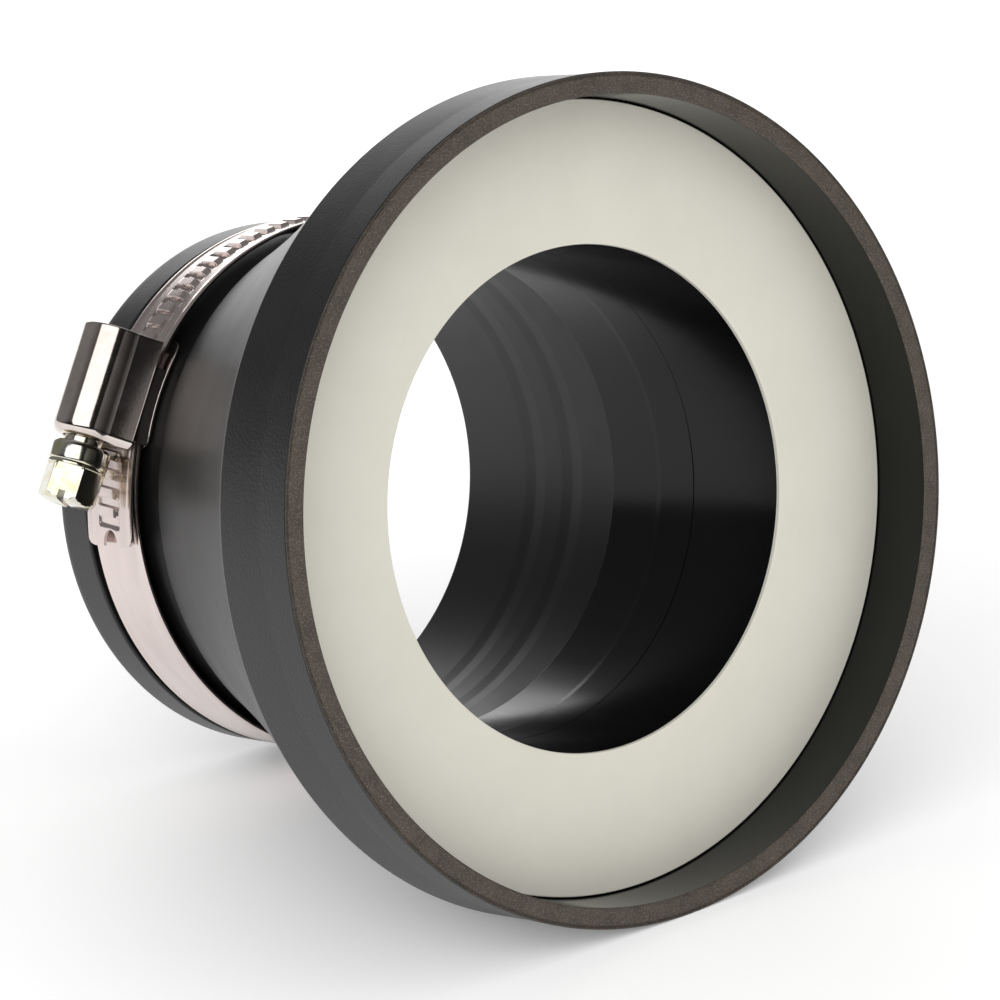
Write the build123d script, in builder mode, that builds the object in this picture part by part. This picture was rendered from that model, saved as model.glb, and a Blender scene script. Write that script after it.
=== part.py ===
from build123d import *

import os
from math import cos, degrees, pi, radians, sin

# Toilet flange: a flexible cup-shaped boot with a rigid throat inside it, a sealing ring
# in the bottom of the cup, and a worm-drive clamp round the spout.
# The axis of the flange lies along Y. The cup opens towards -Y and the spout's mouth is
# the plane Y = 0, centred on the origin. "Depth" below is measured back from the rim face.
# All sizes are in millimetres and degrees.

# Boot: the cup
OVERALL_LENGTH = 103.0
RIM_RADIUS = 70.0
RIM_WIDTH = 3.6
RIM_ROUNDING = 0.6
CUP_DEPTH = 11.5
SIDE_STRAIGHT_DEPTH = 7.0
SIDE_WALL_DEPTH = 17.0
SIDE_BULGE = 0.35
CREASE_DROP = 0.6
CREASE_LENGTH = 1.2

# Boot: the cone and the spout
CONE_WALL = 3.6
CONE_HOLLOW = 1.0
CONE_END_DEPTH = 69.0
CONE_END_ROUNDING = 1.0
NECK_STEP = 2.2
NECK_SLOPE = 2.4
NECK_ROOM = 4.0
SEAT_WALL = 1.8
LIP_WALL = 3.9
LIP_ROUNDING = 2.4
SOCKET_RADIUS = 44.6
SOCKET_LENGTH = 46.3

# Throat insert and sealing ring
THROAT_RADIUS = 42.3
THROAT_WALL = 1.75
DISC_THICKNESS = 2.4
DISC_SHELF = 3.6
INSERT_FIT = 0.05
INSERT_GRIP = 9.0
DISC_FIT = 0.1
RING_THICKNESS = 0.8
RING_FIT = 0.2

# Clamp: the band
BAND_WIDTH = 14.3
BAND_THICKNESS = 0.7
SPIRAL_STEP = 0.22
TOOTH_PITCH = 3.2
TOOTH_HEIGHT = 0.7
TOOTH_LENGTH = 6.4
TOOTH_WIDTH = 1.1
TOOTH_COUNT = 46
TAIL_LENGTH = 16.2
TAIL_PLAIN_LENGTH = 5.4
TAIL_CURVE_RADIUS = 66.0
TAIL_NOTCH_RADIUS = 2.3
TAIL_LOBE_ROUNDING = 2.0

# Clamp: the housing, its saddle and the screw
HOUSING_ANGLE = 30.3
HOUSING_FAR = 9.5
HOUSING_NEAR = 10.3
HOUSING_SHEET = 1.1
HOUSING_END_WALL = 0.9
HOUSING_END_ROUNDING = 0.8
SKIRT_FAR = 5.0
SKIRT_NEAR = 8.6
SKIRT_SHEET = 0.6
SADDLE_THICKNESS = 0.5
SADDLE_OVERHANG = 1.0
SADDLE_FAR = 11.0
SADDLE_NEAR = 9.2
WORM_RADIUS = 4.6
WORM_CORE_RADIUS = 3.55
THREAD_ROOT_WIDTH = 1.6
THREAD_CREST_WIDTH = 0.7
THREAD_RUNOUT = 1.0
COLLAR_RADIUS = 5.2
COLLAR_LENGTH = 4.3
COLLAR_CHAMFER = 0.8
HEX_ACROSS_FLATS = 9.0
HEX_LENGTH = 6.2
HEX_TURN = 45.0
SLOT_WIDTH = 1.2
SLOT_DEPTH = 1.6

# Clearances
TURN_GAP = 0.3
BAND_GAP = 0.12
TEETH_SIDE_GAP = 0.35
CREST_GAP = 0.14
END_GAP = 0.15
HEAD_GAP = 1.1
WORM_GAP = 0.4
SEW = 0.05

# Sizes that follow from the ones above
CUP_RADIUS = RIM_RADIUS - RIM_WIDTH
RING_BACK_DEPTH = CUP_DEPTH + RING_THICKNESS
SHELF_DEPTH = RING_BACK_DEPTH + DISC_THICKNESS
STOP_DEPTH = OVERALL_LENGTH - SOCKET_LENGTH
TUBE_RADIUS = THROAT_RADIUS + THROAT_WALL
GRIP_DEPTH = STOP_DEPTH - INSERT_GRIP
SEAT_RADIUS = SOCKET_RADIUS + SEAT_WALL
LIP_RADIUS = SOCKET_RADIUS + LIP_WALL
CONE_START_DEPTH = SIDE_WALL_DEPTH + CREASE_LENGTH
CONE_START_RADIUS = RIM_RADIUS + SIDE_BULGE - CREASE_DROP
CONE_END_RADIUS = SEAT_RADIUS + NECK_STEP
SADDLE_RADIUS = SEAT_RADIUS + TURN_GAP
SADDLE_TOP = SADDLE_RADIUS + SADDLE_THICKNESS
BAND_RADIUS = SADDLE_TOP + BAND_GAP + SPIRAL_STEP
SLEEVE_HALF = BAND_WIDTH / 2 + TEETH_SIDE_GAP
SKIRT_HALF = SLEEVE_HALF + SKIRT_SHEET
SADDLE_HALF = SKIRT_HALF + SADDLE_OVERHANG / 2
NECK_DEPTH = CONE_END_DEPTH + NECK_SLOPE
CLAMP_DEPTH = NECK_DEPTH + NECK_ROOM + SADDLE_HALF
LIP_DEPTH = CLAMP_DEPTH + SADDLE_HALF + TURN_GAP
CLAMP_Y = CLAMP_DEPTH - OVERALL_LENGTH

# The band is a spiral of quarter circles, seen from the cup's side and wound
# anticlockwise from its inner end, which is hidden inside the housing's far end.
HOUSING_TURN = 180.0 - HOUSING_ANGLE
BAND_START = HOUSING_TURN - degrees(HOUSING_FAR - 1.5) / BAND_RADIUS
QUARTERS = 4
TAIL_START = HOUSING_TURN + 360.0 + degrees(HOUSING_NEAR) / BAND_RADIUS


def quarter(turn):
    """Centre (x, z) and inner radius of the quarter circle that holds a turn angle."""
    index = min(int((turn - BAND_START) // 90.0), QUARTERS)
    first = radians(BAND_START + 90.0)
    x = SPIRAL_STEP * (cos(first) + cos(first + pi / 2)) / 2
    z = SPIRAL_STEP * (sin(first) + sin(first + pi / 2)) / 2
    for step in range(index):
        x -= SPIRAL_STEP * cos(first + step * pi / 2)
        z -= SPIRAL_STEP * sin(first + step * pi / 2)
    return (x, z), BAND_RADIUS + SPIRAL_STEP * index


def band_arc(turn, proud):
    """Centre, radius and start of the band's arc at a turn angle, proud of its inner face."""
    if turn < TAIL_START:
        centre, radius = quarter(turn)
        return centre, radius + proud
    (x, z), radius = quarter(TAIL_START)
    back = TAIL_CURVE_RADIUS - radius
    towards = radians(TAIL_START)
    return (x - back * cos(towards), z - back * sin(towards)), TAIL_CURVE_RADIUS + proud


def band_point(turn, proud):
    """Point (x, z) of the band at a turn angle, proud of its inner face."""
    (x, z), radius = band_arc(turn, proud)
    return x + radius * cos(radians(turn)), z + radius * sin(radians(turn))


def radius_at(turn, proud):
    """Distance from the flange's axis to the band at a turn angle."""
    x, z = band_point(turn, proud)
    return (x * x + z * z) ** 0.5


# The screw's axis lies along the tangent of the band in the middle of the housing.
BAND_OUTSIDE = radius_at(HOUSING_TURN + 360.0, BAND_THICKNESS)
AXIS_RADIUS = BAND_OUTSIDE + CREST_GAP + WORM_RADIUS
TUNNEL_RADIUS = WORM_RADIUS + WORM_GAP
TUNNEL_OUTSIDE = TUNNEL_RADIUS + HOUSING_SHEET
SLEEVE_TOP = BAND_OUTSIDE + TURN_GAP
TOOTH_RADIUS = BAND_OUTSIDE + TOOTH_HEIGHT / 2
WORM_FAR = HOUSING_FAR - HOUSING_END_WALL - END_GAP
WORM_NEAR = HOUSING_NEAR - HOUSING_END_WALL - END_GAP
COLLAR_START = HOUSING_NEAR + HEAD_GAP
HEX_START = COLLAR_START + COLLAR_LENGTH
SCREW_END = HEX_START + HEX_LENGTH
TAIL_END = TAIL_START + degrees(TAIL_LENGTH) / TAIL_CURVE_RADIUS

OUTWARDS = (cos(radians(HOUSING_TURN)), 0, sin(radians(HOUSING_TURN)))
TOWARDS_HEAD = (-sin(radians(HOUSING_TURN)), 0, cos(radians(HOUSING_TURN)))


def turn_along(length):
    """Turn angle of the band's outer end at a length past the middle of the housing."""
    lead = length - radians(TAIL_START - HOUSING_TURN - 360.0) * TOOTH_RADIUS
    if lead < 0:
        return HOUSING_TURN + 360.0 + degrees(length) / TOOTH_RADIUS
    return TAIL_START + degrees(lead) / TAIL_CURVE_RADIUS


def clamp_plane(along, outwards):
    """Plane across the screw: x to the cup, y away from the flange's axis, z to the head."""
    x = outwards * OUTWARDS[0] + along * TOWARDS_HEAD[0]
    z = outwards * OUTWARDS[2] + along * TOWARDS_HEAD[2]
    return Plane(origin=(x, CLAMP_Y, z), x_dir=(0, -1, 0), z_dir=TOWARDS_HEAD)


def turned(plane, angle):
    """A plane turned about its own normal."""
    x_dir = plane.x_dir.rotate(Axis((0, 0, 0), plane.z_dir), angle)
    return Plane(origin=plane.origin, x_dir=x_dir, z_dir=plane.z_dir)


def station(depth):
    """Y of a depth behind the rim face."""
    return depth - OVERALL_LENGTH


def save(piece, label):
    """Label a finished piece and write it."""
    piece.part.label = label
    export_step(piece.part, f"parts/{label}.step")


def cone_radius(depth, inset):
    """Radius of the cone's slightly hollow outside at a depth, less an inset."""
    share = (depth - CONE_START_DEPTH) / (CONE_END_DEPTH - CONE_START_DEPTH)
    straight = CONE_START_RADIUS + (CONE_END_RADIUS - CONE_START_RADIUS) * share
    return straight - 4 * CONE_HOLLOW * share * (1 - share) - inset


os.makedirs("parts", exist_ok=True)

# Boot: one flexible moulding, turned from its wall section
middle_depth = (CONE_START_DEPTH + CONE_END_DEPTH) / 2
shelf_radius = CUP_RADIUS - DISC_SHELF
cavity_depth = SHELF_DEPTH + CONE_WALL
with BuildPart() as boot:
    with BuildSketch(Plane.XY) as wall:
        with BuildLine():
            outside = [
                (CUP_RADIUS, station(0)),
                (RIM_RADIUS, station(0)),
                (RIM_RADIUS, station(SIDE_STRAIGHT_DEPTH)),
                (RIM_RADIUS + SIDE_BULGE, station(SIDE_WALL_DEPTH)),
                (CONE_START_RADIUS, station(CONE_START_DEPTH)),
            ]
            Polyline(outside)
            cone_end = (CONE_END_RADIUS, station(CONE_END_DEPTH))
            cone_middle = (cone_radius(middle_depth, 0), station(middle_depth))
            ThreePointArc(outside[-1], cone_middle, cone_end)
            Polyline(
                cone_end,
                (SEAT_RADIUS, station(NECK_DEPTH)),
                (SEAT_RADIUS, station(LIP_DEPTH)),
                (LIP_RADIUS, station(LIP_DEPTH)),
                (LIP_RADIUS, station(OVERALL_LENGTH)),
                (SOCKET_RADIUS, station(OVERALL_LENGTH)),
                (SOCKET_RADIUS, station(STOP_DEPTH)),
                (TUBE_RADIUS + INSERT_FIT, station(STOP_DEPTH)),
                (TUBE_RADIUS + INSERT_FIT, station(GRIP_DEPTH)),
                (cone_radius(GRIP_DEPTH, CONE_WALL), station(GRIP_DEPTH)),
                (shelf_radius, station(cavity_depth)),
                (shelf_radius, station(SHELF_DEPTH)),
                (CUP_RADIUS, station(SHELF_DEPTH)),
                (CUP_RADIUS, station(0)),
            )
        make_face()
        rim_corners = wall.vertices().group_by(Axis.Y)[0]
        fillet(rim_corners, RIM_ROUNDING)
        mouth_corner = wall.vertices().group_by(Axis.Y)[-1].sort_by(Axis.X)[-1]
        fillet(mouth_corner, LIP_ROUNDING)
        cone_corner = wall.vertices().sort_by_distance((*cone_end, 0))[0]
        fillet(cone_corner, CONE_END_ROUNDING)
    revolve(axis=Axis.Y)
save(boot, "boot")

# Throat insert: a rigid disc and tube in one piece
with BuildPart() as throat_insert:
    with BuildSketch(Plane.XY):
        with BuildLine():
            Polyline(
                (THROAT_RADIUS, station(RING_BACK_DEPTH)),
                (CUP_RADIUS - DISC_FIT, station(RING_BACK_DEPTH)),
                (CUP_RADIUS - DISC_FIT, station(SHELF_DEPTH)),
                (TUBE_RADIUS, station(SHELF_DEPTH)),
                (TUBE_RADIUS, station(STOP_DEPTH)),
                (THROAT_RADIUS, station(STOP_DEPTH)),
                close=True,
            )
        make_face()
    revolve(axis=Axis.Y)
save(throat_insert, "throat_insert")

# Sealing ring: a flat soft ring bonded on the disc
with BuildPart() as sealing_ring:
    with BuildSketch(Plane.XZ.offset(-station(RING_BACK_DEPTH))):
        Circle(CUP_RADIUS - RING_FIT)
        Circle(THROAT_RADIUS, mode=Mode.SUBTRACT)
    extrude(amount=RING_THICKNESS)
save(sealing_ring, "sealing_ring")


def tooth(index):
    """One pressed thread ridge, slanted to the worm's lead."""
    slant = degrees(TOOTH_PITCH / (2 * pi * WORM_RADIUS))
    turn = turn_along(TOOTH_PITCH * (index + 0.5))
    x, z = band_point(turn, BAND_THICKNESS)
    away = (cos(radians(turn)), 0, sin(radians(turn)))
    ridge_plane = Plane(origin=(x, CLAMP_Y, z), x_dir=(0, -1, 0), z_dir=away)
    with BuildSketch(turned(ridge_plane, -slant).offset(-SEW)) as foot:
        Rectangle(TOOTH_LENGTH, TOOTH_WIDTH)
    extrude(foot.sketch, amount=TOOTH_HEIGHT + SEW, taper=12)


# Clamp band: a spiral strip with pressed thread ridges and a forked tail
tail_teeth = round((HOUSING_NEAR + TAIL_LENGTH - TAIL_PLAIN_LENGTH) / TOOTH_PITCH - 0.5)
with BuildPart() as clamp_band:
    with BuildSketch(Plane.XZ.offset(-CLAMP_Y)):
        breaks = [BAND_START + 90.0 * step for step in range(QUARTERS + 1)]
        breaks += [TAIL_START, TAIL_END]
        for start, end in zip(breaks[:-1], breaks[1:]):
            centre, inside = band_arc(start, 0)
            with BuildSketch(mode=Mode.PRIVATE) as strip:
                with BuildLine():
                    CenterArc(centre, inside, start, end - start)
                    CenterArc(centre, inside + BAND_THICKNESS, start, end - start)
                    for turn in (start, end):
                        away = Vector(cos(radians(turn)), sin(radians(turn)))
                        foot = Vector(*centre) + away * inside
                        Line(foot, foot + away * BAND_THICKNESS)
                make_face()
            add(strip.sketch)
    extrude(amount=BAND_WIDTH / 2, both=True)
    tail_x, tail_z = band_point(TAIL_END, 0)
    tail_away = (cos(radians(TAIL_END)), 0, sin(radians(TAIL_END)))
    tail_corners = clamp_band.edges().filter_by(lambda edge: edge.length < BAND_THICKNESS * 1.01)
    tail_corners = tail_corners.sort_by_distance((tail_x, CLAMP_Y, tail_z))[:2]
    fillet(tail_corners, TAIL_LOBE_ROUNDING)
    with BuildSketch(Plane(origin=(tail_x, CLAMP_Y, tail_z), x_dir=(0, -1, 0), z_dir=tail_away)):
        Circle(TAIL_NOTCH_RADIUS)
    extrude(amount=2 * BAND_THICKNESS, both=True, mode=Mode.SUBTRACT)
    for index in range(tail_teeth - TOOTH_COUNT, tail_teeth):
        tooth(index)
save(clamp_band, "clamp_band")

# Clamp housing: a pressed tunnel over the worm, with skirts down past the band
with BuildPart() as clamp_housing:
    with BuildSketch(clamp_plane(-HOUSING_FAR, 0)):
        with Locations((0, AXIS_RADIUS)):
            Circle(TUNNEL_OUTSIDE)
        with Locations((0, (AXIS_RADIUS + SLEEVE_TOP) / 2)):
            Rectangle(2 * TUNNEL_OUTSIDE, AXIS_RADIUS - SLEEVE_TOP)
    extrude(amount=HOUSING_FAR + HOUSING_NEAR)
    head_edges = clamp_housing.faces().sort_by(Axis((0, 0, 0), TOWARDS_HEAD))[-1].edges()
    fillet(head_edges.filter_by(GeomType.CIRCLE), HOUSING_END_ROUNDING)
    with BuildSketch(clamp_plane(-SKIRT_FAR, 0)):
        with Locations((0, (SLEEVE_TOP + SKIRT_SHEET + SADDLE_RADIUS) / 2)):
            Rectangle(2 * SKIRT_HALF, SLEEVE_TOP + SKIRT_SHEET - SADDLE_RADIUS)
    extrude(amount=SKIRT_FAR + SKIRT_NEAR)
    with BuildSketch(clamp_plane(HOUSING_END_WALL - HOUSING_FAR, 0)):
        with Locations((0, AXIS_RADIUS)):
            Circle(TUNNEL_RADIUS)
        with Locations((0, (AXIS_RADIUS + SADDLE_RADIUS) / 2)):
            Rectangle(2 * TUNNEL_RADIUS, AXIS_RADIUS - SADDLE_RADIUS)
    extrude(amount=HOUSING_FAR + HOUSING_NEAR - 2 * HOUSING_END_WALL, mode=Mode.SUBTRACT)
    with BuildSketch(clamp_plane(-2 * HOUSING_FAR, 0)):
        with Locations((0, SLEEVE_TOP / 2)):
            Rectangle(2 * SLEEVE_HALF, SLEEVE_TOP)
    extrude(amount=4 * HOUSING_FAR, mode=Mode.SUBTRACT)
    with BuildSketch(clamp_plane(-2 * HOUSING_FAR, 0)):
        with Locations((0, AXIS_RADIUS)):
            Circle(WORM_CORE_RADIUS + END_GAP)
        with Locations((0, (AXIS_RADIUS + SLEEVE_TOP) / 2 - SEW)):
            Rectangle(2 * (WORM_CORE_RADIUS + END_GAP), AXIS_RADIUS - SLEEVE_TOP)
    extrude(amount=4 * HOUSING_FAR, mode=Mode.SUBTRACT)
    with BuildSketch(Plane.XZ.offset(-CLAMP_Y)):
        Circle(SADDLE_TOP)
    extrude(amount=2 * SKIRT_HALF, both=True, mode=Mode.SUBTRACT)
save(clamp_housing, "clamp_housing")

# Housing saddle: a curved plate under the band that carries the housing
with BuildPart() as housing_saddle:
    saddle_far = HOUSING_TURN - degrees(SADDLE_FAR) / SADDLE_TOP
    saddle_sweep = degrees(SADDLE_FAR + SADDLE_NEAR) / SADDLE_TOP
    with BuildSketch(Plane.XY):
        with Locations(((SADDLE_RADIUS + SADDLE_TOP) / 2, CLAMP_Y)):
            Rectangle(SADDLE_THICKNESS, 2 * SADDLE_HALF)
    revolve(axis=Axis.Y, revolution_arc=-saddle_sweep)
housing_saddle.part = housing_saddle.part.rotate(Axis.Y, -saddle_far)
save(housing_saddle, "housing_saddle")

# The worm's right-hand thread starts where its crest over the band will lie midway
# between two ridges.
thread_start = THREAD_RUNOUT - WORM_FAR
thread_turn = 270.0 + 360.0 * thread_start / TOOTH_PITCH
thread_height = WORM_FAR + WORM_NEAR - 2 * THREAD_RUNOUT
thread_base = turned(clamp_plane(thread_start, AXIS_RADIUS), thread_turn)
helix = thread_base.location * Helix(TOOTH_PITCH, thread_height, WORM_CORE_RADIUS)
thread_depth = WORM_RADIUS - WORM_CORE_RADIUS
with BuildSketch(Plane(origin=helix @ 0, x_dir=thread_base.x_dir, z_dir=helix % 0)) as ridge:
    with BuildLine():
        Polyline(
            (-2 * SEW, -THREAD_ROOT_WIDTH / 2),
            (thread_depth, -THREAD_CREST_WIDTH / 2),
            (thread_depth, THREAD_CREST_WIDTH / 2),
            (-2 * SEW, THREAD_ROOT_WIDTH / 2),
            close=True,
        )
    make_face()
thread = sweep(ridge.sketch, path=helix, is_frenet=True)

# Clamp screw: worm, shank, collar and slotted hexagon head in one piece
with BuildPart() as clamp_screw:
    with BuildSketch(clamp_plane(-WORM_FAR, AXIS_RADIUS)):
        Circle(WORM_CORE_RADIUS)
    extrude(amount=WORM_FAR + COLLAR_START + SEW)
    add(thread)
    with BuildSketch(clamp_plane(COLLAR_START, AXIS_RADIUS)):
        Circle(COLLAR_RADIUS)
    extrude(amount=COLLAR_LENGTH)
    collar_edges = clamp_screw.edges().filter_by(GeomType.CIRCLE)
    collar_edges = collar_edges.filter_by(lambda edge: abs(edge.radius - COLLAR_RADIUS) < SEW)
    chamfer(collar_edges.sort_by(Axis((0, 0, 0), TOWARDS_HEAD))[0], COLLAR_CHAMFER)
    with BuildSketch(clamp_plane(HEX_START, AXIS_RADIUS)):
        RegularPolygon(HEX_ACROSS_FLATS / 2, 6, major_radius=False, rotation=HEX_TURN)
    extrude(amount=HEX_LENGTH)
    with BuildSketch(clamp_plane(SCREW_END, AXIS_RADIUS)):
        Rectangle(2 * HEX_ACROSS_FLATS, SLOT_WIDTH, rotation=HEX_TURN)
    extrude(amount=-SLOT_DEPTH, mode=Mode.SUBTRACT)
save(clamp_screw, "clamp_screw")
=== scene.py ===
"""Looks for the toilet flange: moulded boot, glossy throat, cream seal and worm-drive clamp."""

import logging
from dataclasses import dataclass, field
from enum import Enum, IntEnum
from math import cos, degrees, pi, radians, sin

import bmesh
import bpy
import numpy as np
from mathutils import Matrix, Vector


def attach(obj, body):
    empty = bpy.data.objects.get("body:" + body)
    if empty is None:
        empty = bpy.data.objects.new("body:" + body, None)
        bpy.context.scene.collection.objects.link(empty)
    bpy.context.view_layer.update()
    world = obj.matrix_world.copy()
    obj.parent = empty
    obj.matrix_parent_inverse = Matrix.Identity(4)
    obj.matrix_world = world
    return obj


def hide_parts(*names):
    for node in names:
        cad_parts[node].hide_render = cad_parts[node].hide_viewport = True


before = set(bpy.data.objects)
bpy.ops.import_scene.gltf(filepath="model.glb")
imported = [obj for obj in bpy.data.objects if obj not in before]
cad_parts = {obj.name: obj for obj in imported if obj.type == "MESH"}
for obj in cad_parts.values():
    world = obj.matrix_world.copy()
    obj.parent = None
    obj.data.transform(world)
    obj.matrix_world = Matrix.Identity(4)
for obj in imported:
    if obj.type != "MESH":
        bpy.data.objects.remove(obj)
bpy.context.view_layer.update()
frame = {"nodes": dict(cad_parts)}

logging.basicConfig(level=logging.INFO, format="%(message)s")
log = logging.getLogger("toilet_flange")

MM = 0.001
LENGTH = 103.0
CLAMP_Y = -19.0
# Share of a corner's reach at which a guard point holds the flat beside it.
GUARD_SHARE = 0.3
POLYMER_IOR = 1.5
# Noise values between which a pattern goes from its first colour to its second.
MOTTLE_SPAN = (0.35, 0.65)
# The high part of the grain noise, where the pale specks of painted glint go.
GLINT_SPAN = (0.5, 0.68)


class View(Enum):
    """How light turns into colour on the screen."""

    PLAIN = "Standard"


class Zone(IntEnum):
    """Material slots of the boot, by the part of the moulding they cover."""

    SIDE = 0
    RIM = 1
    CUP = 2
    CONE = 3
    SOCKET = 4


# ---------------------------------------------------------------- mesh tools


def unit(vectors: np.ndarray) -> np.ndarray:
    """Vectors divided by their own lengths."""
    return vectors / np.linalg.norm(vectors, axis=-1, keepdims=True)


def smooth(low: float, high: float, values: np.ndarray) -> np.ndarray:
    """Smooth step from 0 at low to 1 at high: t squared times (3 minus 2 t)."""
    t = np.clip((values - low) / (high - low), 0, 1)
    return t * t * (3 - 2 * t)


def rounded(corners: list[tuple[float, float, float]], steps: int = 6) -> np.ndarray:
    """Closed outline with rounded corners.

    An arc's points are the two tangent radii mixed by sin((1 - k) w) and sin(k w), each over
    sin(w), where w is the angle between them. A guard point a little way along each straight
    keeps the shading of flat faces flat.

    Args:
        corners: points (x, y, radius) in mm, where a radius of 0 is a sharp corner.
        steps: divisions of each arc.

    Returns:
        The outline's points, as an array of (x, y).
    """
    data = np.array(corners, float)
    here, radius = data[:, :2], data[:, 2]
    back = unit(np.roll(here, 1, axis=0) - here)
    ahead = unit(np.roll(here, -1, axis=0) - here)
    half = np.arccos(np.clip((back * ahead).sum(1), -1, 1)) / 2
    points = []
    for index, size in enumerate(radius):
        if size == 0:
            points.append(here[index : index + 1])
            continue
        reach = size / np.tan(half[index])
        centre = here[index] + unit(back[index] + ahead[index]) * size / np.sin(half[index])
        first = here[index] + back[index] * reach
        last = here[index] + ahead[index] * reach
        wide = pi - 2 * half[index]
        k = np.linspace(0, 1, steps + 1)[:, None]
        mix = np.sin((1 - k) * wide) * (first - centre) + np.sin(k * wide) * (last - centre)
        guard = GUARD_SHARE * reach
        points.append(first + back[index] * guard)
        points.append(centre + mix / np.sin(wide))
        points.append(last + ahead[index] * guard)
    return np.vstack(points)


def loft(
    name: str,
    sections: np.ndarray,
    closed: bool,
    ladder: bool = False,
    sharp: float = 32.0,
) -> bpy.types.Object:
    """Closed surface through a row of closed sections, as a grid of quads.

    Args:
        name: name of the new object.
        sections: array (rows, points, 3) in mm, all sections with the same points in order.
        closed: whether the last section joins the first; otherwise both ends are capped.
        ladder: caps made of rungs between opposite points, for an end that isn't flat.
        sharp: angle in degrees past which an edge stays sharp.

    Returns:
        The new object, at the origin, with its place in its mesh.
    """
    rows, count = sections.shape[:2]
    row = np.arange(rows if closed else rows - 1)[:, None]
    point = np.arange(count)[None, :]
    up = (row + 1) % rows
    side = (point + 1) % count
    quads = np.stack(
        [row * count + point, row * count + side, up * count + side, up * count + point], axis=-1
    )
    faces = quads.reshape(-1, 4).tolist()
    if not closed:
        for start in (0, (rows - 1) * count):
            if ladder:
                rung = np.arange(count // 2 - 1)
                cap = np.stack([rung, rung + 1, count - 2 - rung, count - 1 - rung], axis=-1)
                faces += (cap + start).tolist()
            else:
                faces.append((np.arange(count) + start).tolist())
    mesh = bpy.data.meshes.new(name)
    mesh.from_pydata((sections.reshape(-1, 3) * MM).tolist(), [], faces)
    piece = bpy.data.objects.new(name, mesh)
    bpy.context.scene.collection.objects.link(piece)
    finish_mesh(piece, sharp)
    return piece


def finish_mesh(piece: bpy.types.Object, sharp: float) -> None:
    """Turn every face outwards and shade it smooth, apart from sharp edges.

    Args:
        piece: the object to finish.
        sharp: angle in degrees past which an edge stays sharp.
    """
    work = bmesh.new()
    work.from_mesh(piece.data)
    bmesh.ops.recalc_face_normals(work, faces=work.faces)
    work.to_mesh(piece.data)
    work.free()
    piece.data.shade_smooth()
    piece.data.set_sharp_from_angle(angle=radians(sharp))


def lathe(name: str, outline: np.ndarray, turns: int) -> bpy.types.Object:
    """Outline (radius, depth) carried round the flange's axis: x is r cos a, z is r sin a.

    Args:
        name: name of the new object.
        outline: closed outline in mm, with depth measured back from the rim.
        turns: number of sections round the axis.

    Returns:
        The new object.
    """
    angle = np.linspace(0, 2 * pi, turns, endpoint=False)[:, None]
    radius, depth = outline[:, 0][None, :], outline[:, 1][None, :]
    height = np.broadcast_to(depth - LENGTH, (turns, outline.shape[0]))
    sections = np.stack([radius * np.cos(angle), height, radius * np.sin(angle)], axis=-1)
    return loft(name, sections, closed=True)


def join(pieces: list[bpy.types.Object], name: str) -> bpy.types.Object:
    """Join several meshes into the first of them.

    Args:
        pieces: objects to join.
        name: name of the joined object.

    Returns:
        The joined object.
    """
    work = bmesh.new()
    for piece in pieces:
        work.from_mesh(piece.data)
    mesh = bpy.data.meshes.new(name)
    work.to_mesh(mesh)
    work.free()
    for piece in pieces:
        bpy.data.objects.remove(piece)
    joined = bpy.data.objects.new(name, mesh)
    bpy.context.scene.collection.objects.link(joined)
    return joined


# ---------------------------------------------------------------- material tools


def linear(hex_colour: str) -> tuple[float, float, float, float]:
    """Linear colour of an sRGB hex value such as "#d9d6c6"."""
    share = np.array([int(hex_colour[i : i + 2], 16) for i in (1, 3, 5)]) / 255
    value = np.where(share <= 0.04045, share / 12.92, ((share + 0.055) / 1.055) ** 2.4)
    return (*value.tolist(), 1.0)


def add_node(
    tree: bpy.types.NodeTree,
    kind: str,
    stops: tuple[tuple[float, str], ...] = (),
    **inputs: object,
) -> bpy.types.Node:
    """Add a node, with its settings and its links.

    Args:
        tree: the tree to add it to.
        kind: the node's type.
        stops: for a colour ramp, places from 0 to 1 with their sRGB hex colours.
        inputs: a property by its name, a socket by its name with _ for a space, or a
            socket by i and its number; a node socket as a value makes a link.

    Returns:
        The new node.
    """
    node = tree.nodes.new(kind)
    for name, value in inputs.items():
        if name in node.bl_rna.properties:
            setattr(node, name, value)
    for name, value in inputs.items():
        if name in node.bl_rna.properties:
            continue
        key = int(name[1:]) if name[0] == "i" and name[1:].isdigit() else name.replace("_", " ")
        socket = node.inputs[key]
        if isinstance(value, bpy.types.NodeSocket):
            tree.links.new(value, socket)
        else:
            socket.default_value = value
    for index, (place, colour) in enumerate(stops):
        element = node.color_ramp.elements[index]
        element.position = place
        element.color = linear(colour)
    return node


def per_metre(size_mm: float) -> float:
    """Pattern scale that gives features of a size in mm on coordinates in metres."""
    return 1.0 / (size_mm * MM)


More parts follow.
